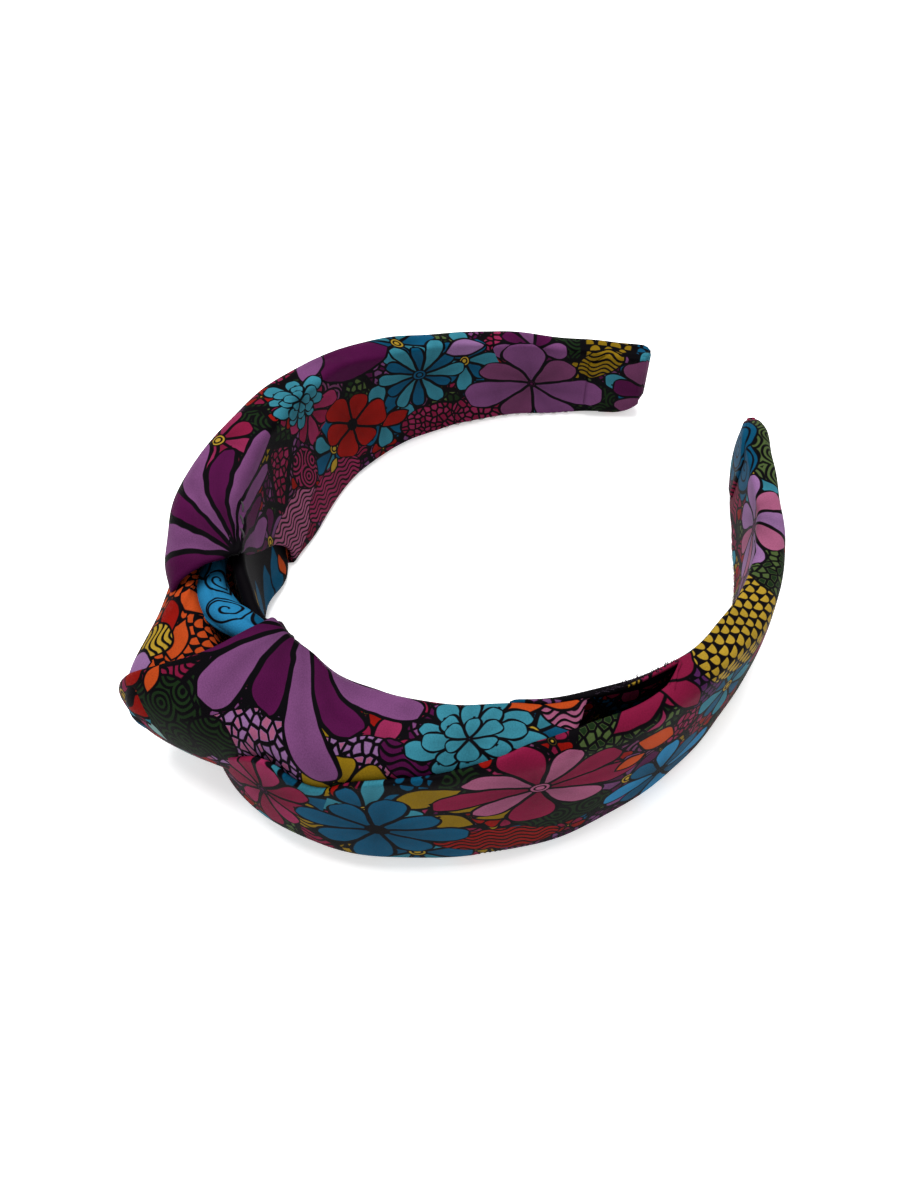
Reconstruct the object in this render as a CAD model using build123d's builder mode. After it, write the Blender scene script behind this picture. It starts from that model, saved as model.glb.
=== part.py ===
from build123d import *
import os
from math import cos, radians, sin

# Knotted headband: a springy hoop in a fabric sleeve, with two loose leg covers and a knot
# at the crown. It lies on its lower edge. +Y points from the knot to the tips, +X is the
# right leg, and z = 0 is the surface it lies on. All sizes in millimetres.

# --- driving dimensions -------------------------------------------------------------------
# The hoop's inner face, seen from above: tangent arcs from the crown to each tip.
HOOP_ARCS = [(61.0, 52.0), (72.0, 44.0), (96.0, 30.0), (176.0, 11.5)]  # (radius, degrees)
TIP_TURN = sum(sweep for _, sweep in HOOP_ARCS)

CROWN_X, CROWN_Y = -0.17, -58.55    # the inner face at the crown, from the box's centre
CROWN_MID_Z = 22.5                 # the hoop's mid-height at the crown
TIP_MID_Z = 11.5                   # and at the tips

FABRIC = 0.8                       # one layer of the printed fabric
FABRIC_GAP = 0.5                   # slack between the sleeve and what is round it
HOOP_THICK = 1.6
HOOP_OUT = 2.1                     # hoop's inner side, outward of the covers' inner face
HOOP_CROWN_WIDTH, HOOP_TIP_WIDTH = 34.0, 12.0
HOOP_TAPER = 2.4                   # how late along the leg the hoop narrows
HOOP_END_TURN = 135.5
SLEEVE_SIDE = 1.2                  # fabric and slack past each edge of the hoop
SLEEVE_TURN = 136.2                # where the sleeve ends
LEG_STATIONS = [12, 24, 36, 48, 60, 72, 84, 96, 106, 116, 124, 128, 131, 134]
HOOP_STATIONS = [-turn for turn in reversed(LEG_STATIONS)] + [0] + LEG_STATIONS

# The knot is a little left of the crown; the legs start where the hoop can flex.
RIGHT_LEG_TURN = 20.5
LEFT_LEG_TURN = -25.5
TIP_TAB_TURN = 129.5
JOINT_GAP = 1.2                    # degrees of turn left open beside the knot

STITCH_LENGTH = 2.6
STITCH_THICK = 0.5


# --- the hoop's own coordinates -----------------------------------------------------------
def band_point(turn, out=0.0):
    """A point in plan: turn is in degrees from the crown, plus to the right leg, and out is
    the distance outward from the inner face."""
    side = 1 if turn >= 0 else -1
    left_over = abs(turn)
    heading = 0.0
    centre_x, centre_y = 0.0, HOOP_ARCS[0][0]
    for index, (radius, sweep) in enumerate(HOOP_ARCS):
        last = index == len(HOOP_ARCS) - 1
        if left_over <= heading + sweep or last:
            angle = radians(left_over)
            reach = radius + out
            x, y = centre_x + reach * sin(angle), centre_y - reach * cos(angle)
            return CROWN_X + side * x, CROWN_Y + y
        heading += sweep
        change = radius - HOOP_ARCS[index + 1][0]
        centre_x += change * sin(radians(heading))
        centre_y -= change * cos(radians(heading))


def band_plane(turn):
    """The plane across the band: its x runs outward, its y up, its origin on the floor."""
    x, y = band_point(turn)
    angle = radians(turn)
    outward = (sin(angle), -cos(angle), 0)
    backward = (-cos(angle), -sin(angle), 0)
    return Plane(origin=(x, y, 0), x_dir=outward, z_dir=backward)


def mid_height(turn):
    """The height of the hoop's middle, which falls evenly from the crown to the tips."""
    run = (band_point(turn)[1] - CROWN_Y) / (band_point(TIP_TURN)[1] - CROWN_Y)
    return CROWN_MID_Z + (TIP_MID_Z - CROWN_MID_Z) * run


def hoop_width(turn):
    """The hoop's width at a turn angle: full at the crown, narrowing smoothly to the tips."""
    narrowed = min(abs(turn) / TIP_TURN, 1) ** HOOP_TAPER
    return HOOP_CROWN_WIDTH + (HOOP_TIP_WIDTH - HOOP_CROWN_WIDTH) * narrowed


def sections(stations):
    """Rounded cross-sections. A station is (turn, out from, out to, z from, z to, radius)."""
    made = []
    for turn, out_low, out_high, z_low, z_high, radius in stations:
        with BuildSketch(band_plane(turn)) as section:
            with Locations(((out_low + out_high) / 2, (z_low + z_high) / 2)):
                RectangleRounded(out_high - out_low, z_high - z_low, radius)
        made.append(section.sketch)
    return made


def hoop_sections(turns, grow_out, grow_side, radius):
    """Sections of the hoop, grown outward by grow_out on each face and by grow_side."""
    stations = []
    for turn in turns:
        half = hoop_width(turn) / 2 + grow_side
        middle = mid_height(turn)
        low, high = HOOP_OUT - grow_out, HOOP_OUT + HOOP_THICK + grow_out
        stations.append((turn, low, high, middle - half, middle + half, radius))
    return sections(stations)


def evenly(start, end, step):
    """Turn angles from start to end, about step apart."""
    count = max(1, round(abs(end - start) / step))
    return [start + (end - start) * i / count for i in range(count + 1)]


def hoop_turns(start, end):
    """Turn angles from start to end, with the shared stations that lie between them."""
    low, high = min(start, end), max(start, end)
    inside = [turn for turn in HOOP_STATIONS if low + 1 < turn < high - 1]
    return [low, *inside, high]


def mirrored(stations):
    """The same stations on the left leg."""
    return [(-turn, *rest) for turn, *rest in stations]


HOLLOW_OUT = FABRIC + FABRIC_GAP            # from the hoop's faces to the covers' hollow
HOLLOW_SIDE = SLEEVE_SIDE + FABRIC_GAP

# --- the hoop and its sleeve ---------------------------------------------------------------
with BuildPart() as core_band:
    loft(sections=hoop_sections(hoop_turns(-HOOP_END_TURN, HOOP_END_TURN), 0, 0, 0.6))
core_band.part.label = "core_band"

with BuildPart() as inner_sleeve:
    loft(sections=hoop_sections(hoop_turns(-SLEEVE_TURN, SLEEVE_TURN), FABRIC, SLEEVE_SIDE, 1.3))
    loft(sections=hoop_sections(hoop_turns(-HOOP_END_TURN, HOOP_END_TURN), 0, 0, 0.6), mode=Mode.SUBTRACT)
inner_sleeve.part.label = "inner_sleeve"

# --- right leg: the cover with its long open mouth, and the knot's tail lying in it ---------
RIGHT_COVER = [
    (RIGHT_LEG_TURN + JOINT_GAP / 2, 0, 24.2, 0, 46.5, 6.5),
    (36, 0, 20.8, 0, 48.0, 6.5),
    (51, 0, 17.6, 0, 47.8, 6.0),
    (65, 0, 14.4, 0, 47.0, 5.2),
    (79, 0, 11.4, 0, 46.0, 4.6),
    (90, 0, 9.6, 0, 44.0, 4.4),
    (103, 0, 8.8, 0, 39.5, 4.0),
    (117, 0, 8.1, 0, 33.0, 3.7),
    (TIP_TAB_TURN, 0, 7.4, 0, 27.5, 3.4),
]
MOUTH_CHANNEL = [                  # the tail lies in its first part; the rest is an open pocket
    (19, 4.8, 22.6, 12.5, 60, 1.5),
    (36, 4.8, 19.2, 12.5, 60, 1.5),
    (51, 4.8, 16.0, 13.5, 60, 1.5),
    (65, 4.8, 12.8, 15.0, 60, 1.5),
    (79, 4.8, 9.8, 20.0, 60, 1.5),
    (89, 4.8, 7.0, 28.0, 60, 1.0),
]
MOUTH_LIP = [                      # above this the cover's outer wall is cut away
    (19, 10, 34, 37.0, 60, 1.0),
    (33, 9, 31, 41.0, 60, 1.0),
    (47, 8, 28, 45.0, 60, 1.0),
    (61, 7, 25, 49.0, 60, 1.0),
]
with BuildPart() as right_leg_cover:
    loft(sections=sections(RIGHT_COVER))
    loft(
        sections=hoop_sections(hoop_turns(19, TIP_TAB_TURN + 2), HOLLOW_OUT, HOLLOW_SIDE, 1.7),
        mode=Mode.SUBTRACT,
    )
    loft(sections=sections(MOUTH_CHANNEL), mode=Mode.SUBTRACT)
    loft(sections=sections(MOUTH_LIP), mode=Mode.SUBTRACT)
right_leg_cover.part.label = "right_leg_cover"

WRAP_TAIL = [
    (RIGHT_LEG_TURN + JOINT_GAP / 2, 5.4, 22.0, 13.4, 47.5, 5.0),
    (36, 5.4, 18.6, 13.4, 48.3, 5.0),
    (51, 5.4, 15.4, 14.4, 47.8, 4.4),
    (61, 5.4, 12.8, 16.4, 46.6, 3.4),
]
with BuildPart() as knot_wrap_tail:
    loft(sections=sections(WRAP_TAIL))
knot_wrap_tail.part.label = "knot_wrap_tail"

# --- left leg: the cover, closed where it is gathered beside the knot ----------------------
LEFT_COVER = mirrored([
    (-LEFT_LEG_TURN + JOINT_GAP / 2, 0, 20.5, 0, 46.5, 6.5),
    (40, 0, 19.0, 0, 47.5, 6.5),
    (57, 0, 16.0, 0, 47.5, 6.0),
    (73, 0, 12.4, 0, 46.5, 5.0),
    (88, 0, 9.8, 0, 44.5, 4.4),
    (103, 0, 8.8, 0, 39.5, 4.0),
    (117, 0, 8.1, 0, 33.0, 3.7),
    (TIP_TAB_TURN, 0, 7.4, 0, 27.5, 3.4),
])
with BuildPart() as left_leg_cover:
    loft(sections=sections(LEFT_COVER))
    loft(
        sections=hoop_sections(hoop_turns(-24, -TIP_TAB_TURN - 2), HOLLOW_OUT, HOLLOW_SIDE, 1.7),
        mode=Mode.SUBTRACT,
    )
left_leg_cover.part.label = "left_leg_cover"

# --- the tabs folded over the two tips ------------------------------------------------------
TIP_TAB = [
    (TIP_TAB_TURN + 0.1, 0, 7.4, 0, 27.4, 3.4),
    (134, 0, 7.1, 0, 25.2, 3.3),
    (TIP_TURN + 0.6, 0, 6.8, 0, 23.0, 3.2),
]
TIP_ROUND = 2.2
tip_tabs = {}
for side in (1, -1):
    tab_stations = TIP_TAB if side == 1 else mirrored(TIP_TAB)
    with BuildPart() as tip_tab:
        loft(sections=sections(tab_stations))
        end_face = tip_tab.faces().filter_by(GeomType.PLANE).sort_by(Axis.Y)[-1]
        fillet(end_face.edges(), TIP_ROUND)
        loft(
            sections=hoop_sections(
                hoop_turns(side * (TIP_TAB_TURN - 2), side * (SLEEVE_TURN + 0.2)),
                HOLLOW_OUT, HOLLOW_SIDE, 1.7,
            ),
            mode=Mode.SUBTRACT,
        )
    tip_tabs[side] = tip_tab
right_tip_tab, left_tip_tab = tip_tabs[1], tip_tabs[-1]
right_tip_tab.part.label = "right_tip_tab"
left_tip_tab.part.label = "left_tip_tab"

# --- the knot: a wrap right round the sleeve, and the two strands beside it ----------------
KNOT_WRAP = [
    (-16.6, -1.2, 27.0, 2.5, 41.0, 9.0),
    (-12.0, -1.4, 36.0, 1.0, 44.0, 12.0),
    (-5.0, -1.4, 36.5, 0.2, 47.0, 12.0),
    (3.0, -1.4, 32.0, 0.2, 48.0, 11.0),
    (11.0, -1.4, 28.0, 0.2, 48.0, 9.5),
    (RIGHT_LEG_TURN - JOINT_GAP / 2, -1.0, 25.0, 0.1, 47.0, 7.0),
]
with BuildPart() as knot_wrap:
    loft(sections=sections(KNOT_WRAP))
    loft(
        sections=hoop_sections(hoop_turns(-19, 22), HOLLOW_OUT, HOLLOW_SIDE, 1.7),
        mode=Mode.SUBTRACT,
    )
knot_wrap.part.label = "knot_wrap"

STRAND_START = LEFT_LEG_TURN + JOINT_GAP / 2
with BuildPart() as knot_under_strand:
    loft(sections=sections([
        (STRAND_START, 15.5, 21.5, 6.0, 43.0, 2.8),
        (-21.0, 15.4, 30.0, 5.0, 42.0, 6.0),
        (-17.3, 15.2, 38.5, 6.0, 39.0, 9.0),
    ]))
knot_under_strand.part.label = "knot_under_strand"

with BuildPart() as knot_return_strand:
    loft(sections=sections([
        (STRAND_START, 7.0, 14.8, 28.0, 42.0, 3.5),
        (-21.0, 6.0, 14.6, 31.0, 44.0, 3.8),
        (-17.3, 5.4, 14.2, 34.0, 46.0, 4.0),
    ]))
knot_return_strand.part.label = "knot_return_strand"


# --- thread ---------------------------------------------------------------------------------
def stitch_row(turns, out, height, slant=0.0):
    """Short thread stitches lying on the band's inner side, as separate solids."""
    stitches = []
    for turn in turns:
        x, y = band_point(turn, out)
        z = height(turn) if callable(height) else height
        with BuildPart(Plane(origin=(x, y, z), z_dir=(cos(radians(turn)), sin(radians(turn)), 0))
                       .rotated((slant, 0, 0))) as stitch:
            Cylinder(STITCH_THICK / 2, STITCH_LENGTH)
            fillet(stitch.edges().filter_by(GeomType.CIRCLE), STITCH_THICK / 2 - 0.02)
        stitches.append(stitch.part)
    return stitches


SEAM_OUT = -STITCH_THICK / 2 - 0.08          # stitches lie on the covers' inner face
SEAM_HEIGHT = 4.0                            # low on it, close to the surface it lies on
with BuildPart() as right_seam_stitches:
    add(stitch_row(evenly(109, 128.2, 2.4), SEAM_OUT, SEAM_HEIGHT))
right_seam_stitches.part.label = "right_seam_stitches"

with BuildPart() as left_seam_stitches:
    add(stitch_row(evenly(-109, -128.2, 2.4), SEAM_OUT, SEAM_HEIGHT))
left_seam_stitches.part.label = "left_seam_stitches"

with BuildPart() as gather_stitches:
    add(stitch_row([-28.5, -32.0, -35.5], SEAM_OUT, 40.0))
gather_stitches.part.label = "gather_stitches"

SLEEVE_SEAM_OUT = HOOP_OUT - FABRIC - STITCH_THICK / 2 - 0.08
with BuildPart() as sleeve_seam_stitches:
    add(stitch_row(evenly(-24, -18, 3.0), SLEEVE_SEAM_OUT, mid_height))
sleeve_seam_stitches.part.label = "sleeve_seam_stitches"

# --- files ----------------------------------------------------------------------------------
os.makedirs("parts", exist_ok=True)
for piece in (
    core_band, inner_sleeve, sleeve_seam_stitches,
    right_leg_cover, knot_wrap_tail, right_tip_tab, right_seam_stitches,
    left_leg_cover, left_tip_tab, left_seam_stitches, gather_stitches,
    knot_wrap, knot_under_strand, knot_return_strand,
):
    export_step(piece.part, f"parts/{piece.part.label}.step")
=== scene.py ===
import math

import bmesh
import bpy
import numpy as np
from mathutils import Matrix, Vector


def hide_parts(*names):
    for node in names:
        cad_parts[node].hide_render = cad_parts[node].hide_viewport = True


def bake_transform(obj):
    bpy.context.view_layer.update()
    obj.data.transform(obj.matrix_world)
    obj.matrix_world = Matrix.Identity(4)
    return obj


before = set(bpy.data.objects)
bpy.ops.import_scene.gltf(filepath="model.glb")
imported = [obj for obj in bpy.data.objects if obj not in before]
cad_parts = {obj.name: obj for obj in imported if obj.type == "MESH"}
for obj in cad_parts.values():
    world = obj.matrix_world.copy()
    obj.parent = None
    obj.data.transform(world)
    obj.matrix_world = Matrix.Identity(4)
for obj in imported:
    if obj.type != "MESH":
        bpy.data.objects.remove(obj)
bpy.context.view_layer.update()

# --- the hoop's own coordinates: s along its inner face, out from it, z up; all in millimetres ---
# The same tangent arcs as the CAD part: (radius, degrees) from the crown to each tip.
HOOP_ARCS = [(61.0, 52.0), (72.0, 44.0), (96.0, 30.0), (176.0, 11.5)]
CROWN_X, CROWN_Y = -0.17, -58.55
MM = 0.001
TURN = 2 * np.pi


def arc_rows():
    """For each arc: run and heading where it starts, its radius and its centre."""
    rows = []
    centre_x, centre_y = 0.0, HOOP_ARCS[0][0]
    run = heading = 0.0
    for index, (radius, sweep) in enumerate(HOOP_ARCS):
        rows.append((run, heading, radius, centre_x, centre_y))
        run += radius * math.radians(sweep)
        heading += math.radians(sweep)
        if index + 1 < len(HOOP_ARCS):
            change = radius - HOOP_ARCS[index + 1][0]
            centre_x += change * math.sin(heading)
            centre_y -= change * math.cos(heading)
    return np.array(rows)


ARCS = arc_rows()
HOOP_RUN = sum(radius * math.radians(sweep) for radius, sweep in HOOP_ARCS)
TIP_RUN = HOOP_RUN + 2.0            # where the cloth ends, past the hoop's own tip
RIGHT_TIP_RUN = TIP_RUN + 9.5       # the near leg's cloth is drawn on to a point


def arc_at(run):
    """The row of the arc that each run lies on."""
    return ARCS[np.searchsorted(ARCS[:, 0], run, side="right") - 1]


def place(s, out, z):
    """Points in the row frame, in metres, for distances along, out from and above the hoop."""
    s, out, z = np.broadcast_arrays(np.asarray(s, float), out, z)
    side = np.where(s < 0, -1.0, 1.0)
    run = np.abs(s)
    arc = arc_at(run)
    angle = arc[..., 1] + (run - arc[..., 0]) / arc[..., 2]
    reach = arc[..., 2] + out
    x = arc[..., 3] + reach * np.sin(angle)
    y = arc[..., 4] - reach * np.cos(angle)
    return np.stack([CROWN_X + side * x, CROWN_Y + y, z], axis=-1) * MM


def smooth(table, s, column=1):
    """A smooth curve through a table's rows: column 0 is s, and the value is in the column."""
    x, y = np.array(table, float)[:, [0, column]].T
    slope = np.gradient(y, x)
    s = np.asarray(s, float)
    i = np.clip(np.searchsorted(x, s, side="right") - 1, 0, len(x) - 2)
    step = x[i + 1] - x[i]
    t = np.clip((s - x[i]) / step, 0, 1)
    t2, t3 = t * t, t * t * t
    return (
        (2 * t3 - 3 * t2 + 1) * y[i]
        + (t3 - 2 * t2 + t) * step * slope[i]
        + (3 * t2 - 2 * t3) * y[i + 1]
        + (t3 - t2) * step * slope[i + 1]
    )


def ease(x, low, high):
    """0 below low, 1 above high, smooth between; high may be below low."""
    t = np.clip((np.asarray(x, float) - low) / (high - low), 0, 1)
    return t * t * (3 - 2 * t)


def hump(x, centre, width):
    return np.exp(-(((np.asarray(x, float) - centre) / width) ** 2))


def turned(phi):
    """Phi as an angle from -pi to pi: negative on the inner side, positive on the outer."""
    return np.mod(phi + np.pi, TURN) - np.pi


# (run, thickness, height) of the legs over their fabric
RIGHT_OUTLINE = [
    (-8, 22.5, 45.5), (-3, 25.4, 46.0), (3, 27.2, 46.3), (10, 27.2, 46.5), (22, 24.8, 46.8),
    (38, 20.2, 48.0), (54, 16.1, 48.2), (72, 12.5, 47.2), (89, 10.4, 45.6), (103, 9.2, 43.8),
    (122, 8.8, 39.5), (146, 8.2, 33.2), (172, 7.4, 27.8), (203, 6.6, 24.8),
]
LEFT_OUTLINE = [
    (22, 20.8, 46.0), (28, 20.4, 46.8), (43, 19.2, 47.8), (62, 15.4, 48.0), (82, 11.9, 46.6),
    (101, 9.4, 44.0), (122, 8.6, 39.0), (146, 8.0, 32.8), (172, 7.4, 27.6), (199, 6.8, 25.4),
]
# how far the right leg's top edge leans in over its foot, and how far all of it stands in
RIGHT_LEAN = [
    (-8, 0.0), (3, 1.2), (10, 2.2), (22, 2.6), (38, 2.6), (54, 2.6), (72, 1.7), (89, 0.7), (110, 0.0),
    (200, 0.0),
]
RIGHT_SHIFT = [(-8, 0.0), (60, 0.0), (100, 0.3), (125, 0.9), (146, 1.6), (172, 2.6), (190, 2.9), (208, 0.8)]
# how far the left leg's foot stands in under its top edge
LEFT_LEAN = [
    (20, -1.0), (32, 0.6), (45, 2.6), (54, 3.6), (70, 3.3), (88, 2.4), (105, 0.6), (130, -0.4), (200, 0.0),
]
# (run, out at the widest, top height, drop of the outer shoulder, undercut 0-1) of the knot
KNOT_OUTLINE = [
    (-26, 40.0, 42.0, 8.0, 0.00), (-21, 40.4, 42.6, 8.0, 0.00), (-16, 39.8, 43.4, 7.5, 0.00),
    (-11, 38.6, 44.4, 8.0, 0.05), (-5, 36.2, 46.0, 9.0, 0.35), (2, 33.0, 46.8, 9.0, 0.80),
    (9, 29.6, 47.9, 8.0, 1.00), (16, 26.4, 47.9, 6.5, 1.00), (24, 23.8, 47.8, 5.0, 1.00),
]


LEAN_HEIGHT = 46.0                 # a leg leans evenly up to this height


def leg_section(phi, thick, low, high, outer=0.36, inner=0.16, belly=0.02):
    """Out and z round a leg: a rounded oblong. Phi is 0 on the top edge and grows down the
    outer side. Outer and inner are the corner radii as shares of the thickness, and belly is
    how far the sides swell, as a share of the height."""
    turn = turned(phi)
    outside = turn > 0
    tall, half = high - low, thick / 2
    corner = np.minimum(np.where(outside, outer, inner) * thick, 0.45 * tall)
    under = np.abs(turn) > np.pi / 2
    share = np.where(under, np.pi - np.abs(turn), np.abs(turn)) / (np.pi / 2)
    flat_end, arc_end = 0.28, 0.72          # the shares of phi where the top and the corner end
    arc = np.clip((share - flat_end) / (arc_end - flat_end), 0, 1) * np.pi / 2
    x = np.minimum(share / flat_end, 1) * (half - corner) + corner * np.sin(arc)
    side_part = np.clip((share - arc_end) / (1 - arc_end), 0, 1)
    y = tall / 2 - corner * (1 - np.cos(arc)) - side_part * (tall / 2 - corner)
    x = x + np.where(outside, belly * tall, 0) * (1 - (y / (tall / 2)) ** 2)
    y = np.where(under, -y, y)
    return half + np.where(outside, x, -x), (low + high) / 2 + y


def ring_section(phi, points):
    """A closed smooth curve through points spread evenly over phi. Points: (..., n, 2)."""
    count = points.shape[-2]
    place_on = np.mod(phi / TURN, 1) * count
    i = np.floor(place_on).astype(int) % count
    t = (place_on - np.floor(place_on))[..., None]

    def take(k):
        return np.take_along_axis(points, ((i + k) % count)[..., None, None], axis=-2)[..., 0, :]

    before, here, ahead, beyond = take(-1), take(0), take(1), take(2)
    curve = here + 0.5 * t * (
        ahead - before
        + t * (2 * before - 5 * here + 4 * ahead - beyond + t * (3 * (here - ahead) + beyond - before))
    )
    return curve[..., 0], curve[..., 1]


def knot_section(phi, s):
    """Out and z round the knot's wrap at a run s; both arrays have the same shape."""
    wide, top, drop, cut = (smooth(KNOT_OUTLINE, s, column) for column in (1, 2, 3, 4))
    zero = np.zeros_like(wide)
    ring = [
        # over the top and down the outer side, which the undercut draws in
        (3.0, top), (wide * 0.40, top - 0.18 * drop),
        (wide * (0.86 - 0.08 * cut), top - drop + 1.0 * (1 - cut)),
        (wide * (1 - 0.14 * cut), 25.0), (wide * (0.93 - 0.21 * cut), 12.5),
        (wide * (0.75 - 0.13 * cut), 3.6),
        # along the foot and up the inner side
        (wide * 0.42, 0.6), (3.4, 0.8), (-0.7, 7.0), (-1.3, 20.0), (-1.3, 34.0), (-0.4, top - 3.4),
    ]
    return ring_section(phi, np.stack([np.stack([out + zero, z + zero], -1) for out, z in ring], axis=-2))


def upper_section(phi, s):
    """Out and z round the knot's wrap and its tail: the knot blends into a tube that lies just
    inside the right cover."""
    knot_out, knot_z = knot_section(phi, s)
    gap = 0.8                               # between the tail and the cover round it
    thick = smooth(RIGHT_OUTLINE, s, 1) - 1.7 - gap
    high = smooth(RIGHT_OUTLINE, s, 2) - 0.3
    tail_out, tail_z = leg_section(phi, thick, 1.4, high, 0.40, 0.20)
    tail_out = tail_out + gap - smooth(RIGHT_LEAN, s) * ease(tail_z, 0, LEAN_HEIGHT)
    tail = ease(s, 6, 26)
    return knot_out + (tail_out - knot_out) * tail, knot_z + (tail_z - knot_z) * tail


def tip_loss(s, corner, depth, end):
    """The height lost in a quarter circle over the last corner mm of a leg, up to depth."""
    back = np.clip((np.asarray(s, float) - (end - corner)) / corner, 0, 1)
    return depth * (1 - np.sqrt(1 - back ** 2))


def tipped_section(phi, s, outline, end, closing, least, foot, top, low=0.0):
    """A leg's section up to its closed tip. Closing is the length over which its thickness goes
    down to the share least, and foot and top are the corner and depth that its edges lose."""
    thick, high = smooth(outline, s, 1), smooth(outline, s, 2)
    closed = thick * (1 - tip_loss(s, closing, 1 - least, end))
    low = low + tip_loss(s, *foot, end)
    out, z = leg_section(phi, closed, low, high - tip_loss(s, *top, end))
    return out + (thick - closed) * 0.5, z


def right_section(phi, s):
    lifted = 2.2 * ease(s, 12, -8)          # the foot beside the knot
    out, z = tipped_section(phi, s, RIGHT_OUTLINE, RIGHT_TIP_RUN, 9.0, 0.22, (24, 14.5), (12, 7.0), lifted)
    return out - (smooth(RIGHT_LEAN, s) * ease(z, 0, LEAN_HEIGHT) + smooth(RIGHT_SHIFT, s)), z


def left_section(phi, s):
    out, z = tipped_section(phi, s, LEFT_OUTLINE, TIP_RUN, 2.6, 0.24, (9.5, 9.5), (2.2, 1.4))
    return out - smooth(LEFT_LEAN, s) * ease(z, 34, 0), z


# --- cloth surfaces: a section swept along the hoop, with folds moved in and out -----------
FINE_PHI = np.linspace(-np.pi, 3 * np.pi, 1601)
FABRIC = 0.8                       # one layer of the printed fabric
KNOT_EYE = (0.0, -5.0)             # where the wrap's folds run together: run, and mm round


def swell(s, phi, seed):
    """Soft uneven fullness of loose cloth, in mm; the same for layers that lie on each other."""
    return (
        0.34 * np.sin(s / 9.3 + 1.7 * np.sin(phi * 2 + seed) + seed)
        + 0.26 * np.sin(s / 5.7 - phi * 3 + 2.1 * seed)
        + 0.16 * np.sin(s / 3.1 + phi * 5 + 0.7 * seed)
    )


def moved_in(out, z, slope_out, slope_z, inset):
    """Points of a section moved in by inset, square to the section's slopes there."""
    share = inset / (np.hypot(slope_out, slope_z) + 1e-9)
    return out + slope_z * share, z - slope_out * share


def even_rows(start, end, step=1.0):
    return np.arange(start, end + 0.01, step)


class Surface:
    """A section function swept along s (or along the run of the left leg), in which a place is
    given by s and by v, the distance round the cloth from the top edge, down the outer side."""

    def __init__(self, section, rows, side=1, folds=None):
        self.rows = np.asarray(rows, float)
        self.side = side
        s, phi = np.meshgrid(self.rows, FINE_PHI, indexing="ij")
        out, z = section(phi, s)
        if folds is not None:
            out, z = moved_in(out, z, np.gradient(out, axis=1), np.gradient(z, axis=1), -folds(s, phi))
            z = np.maximum(z, 0.02 * np.cos(phi) + 0.02)     # cloth lies flat where it rests
        self.out, self.z = out, z
        step = np.hypot(np.diff(out, axis=1), np.diff(z, axis=1))
        travel = np.concatenate([np.zeros((len(self.rows), 1)), np.cumsum(step, axis=1)], axis=1)
        top, bottom, once = (np.argmin(np.abs(FINE_PHI - phi)) for phi in (0, np.pi, TURN))
        self.v = travel - travel[:, top:top + 1]
        self.bottom, self.round = self.v[:, bottom], self.v[:, once]
        # u, the distance along the cloth, follows the outer side of the bend
        stretch = 1 + out.max(axis=1) / arc_at(np.abs(self.rows))[..., 2]
        steps = np.diff(self.rows) * (stretch[1:] + stretch[:-1]) / 2
        self.u = self.rows[0] * 1.4 + np.concatenate([[0], np.cumsum(steps)])

    def v_at(self, s, phi):
        """The v of one phi at the runs s."""
        return np.interp(s, self.rows, [np.interp(phi, FINE_PHI, v) for v in self.v])

    def v_of(self, s, phi):
        """The v of a phi for each run, on the row nearest to it."""
        nearest = np.clip(np.rint(s - self.rows[0]).astype(int), 0, len(self.rows) - 1)
        return np.array([np.interp(p, FINE_PHI, self.v[k]) for k, p in zip(nearest, phi)])

    def at(self, s, v, inset=0.0):
        """Points for arrays of s and v of the same shape, moved in by inset."""
        s, v, inset = np.broadcast_arrays(s, v, inset)
        flat_s, flat_v = s.ravel(), v.ravel()
        low = np.clip(np.searchsorted(self.rows, flat_s, side="right") - 1, 0, len(self.rows) - 2)
        part = np.clip((flat_s - self.rows[low]) / (self.rows[low + 1] - self.rows[low]), 0, 1)
        found = np.empty((4, flat_s.size))
        for row in np.unique(low):
            here = low == row
            first, second = (self.sample(row + k, flat_v[here]) for k in (0, 1))
            found[:, here] = first * (1 - part[here]) + second * part[here]
        out, z = moved_in(*found, inset.ravel())
        return place(self.side * flat_s, out, z).reshape(*s.shape, 3)

    def sample(self, row, v):
        """Out and z at each v of one row, and how they change there."""
        phi = np.interp(v, self.v[row], FINE_PHI)
        behind, here, ahead = (
            np.array([np.interp(phi + step, FINE_PHI, values[row]) for values in (self.out, self.z)])
            for step in (-0.02, 0.0, 0.02)
        )
        return np.concatenate([here, ahead - behind])

    def u_at(self, s):
        return np.interp(s, self.rows, self.u)

    def bottom_and_round(self, s):
        return np.interp(s, self.rows, self.bottom), np.interp(s, self.rows, self.round)


def hem(reach, depth, turn_rows=5):
    """The profile of a rolled fold at a cloth's edge: (distance back from the edge, inset) from
    the end of the turned-in cloth, round the fold, to where it lies flat."""
    profile = [(reach, depth), (reach * 0.6, depth), (reach * 0.3, depth * 0.97)]
    for k in range(turn_rows + 1):
        angle = math.pi * k / turn_rows
        profile.append((depth / 2 * (1 - math.sin(angle)), depth / 2 * (1 + math.cos(angle))))
    return profile


RAW_EDGE = [(0.0, 0.0)]            # the profile of an edge that isn't folded


def upper_folds(s, phi):
    # creases that run out from the knot's eye, and the swell of the tail
    across = turned(phi) * 14
    along = s - KNOT_EYE[0]
    away = np.hypot(along * 1.2, across)
    angle = np.arctan2(across - KNOT_EYE[1], along + 0.01)
    creases = np.sin(angle * 9 + 0.8) * ease(away, 4, 12) * ease(away, 42, 18)
    return 0.42 * creases + swell(s, phi, 1.3) * 0.8 * ease(s, -12, 30)


def right_folds(s, phi):
    turn = turned(phi)
    drag = np.sin((s * 0.55 - turn * 16) / 4.2) * hump(s, 8, 22) * ease(turn, 0.6, 1.6)
    return 0.7 * swell(s, phi, 1.3) + 0.25 * drag * ease(s, -4, 8)


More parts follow.
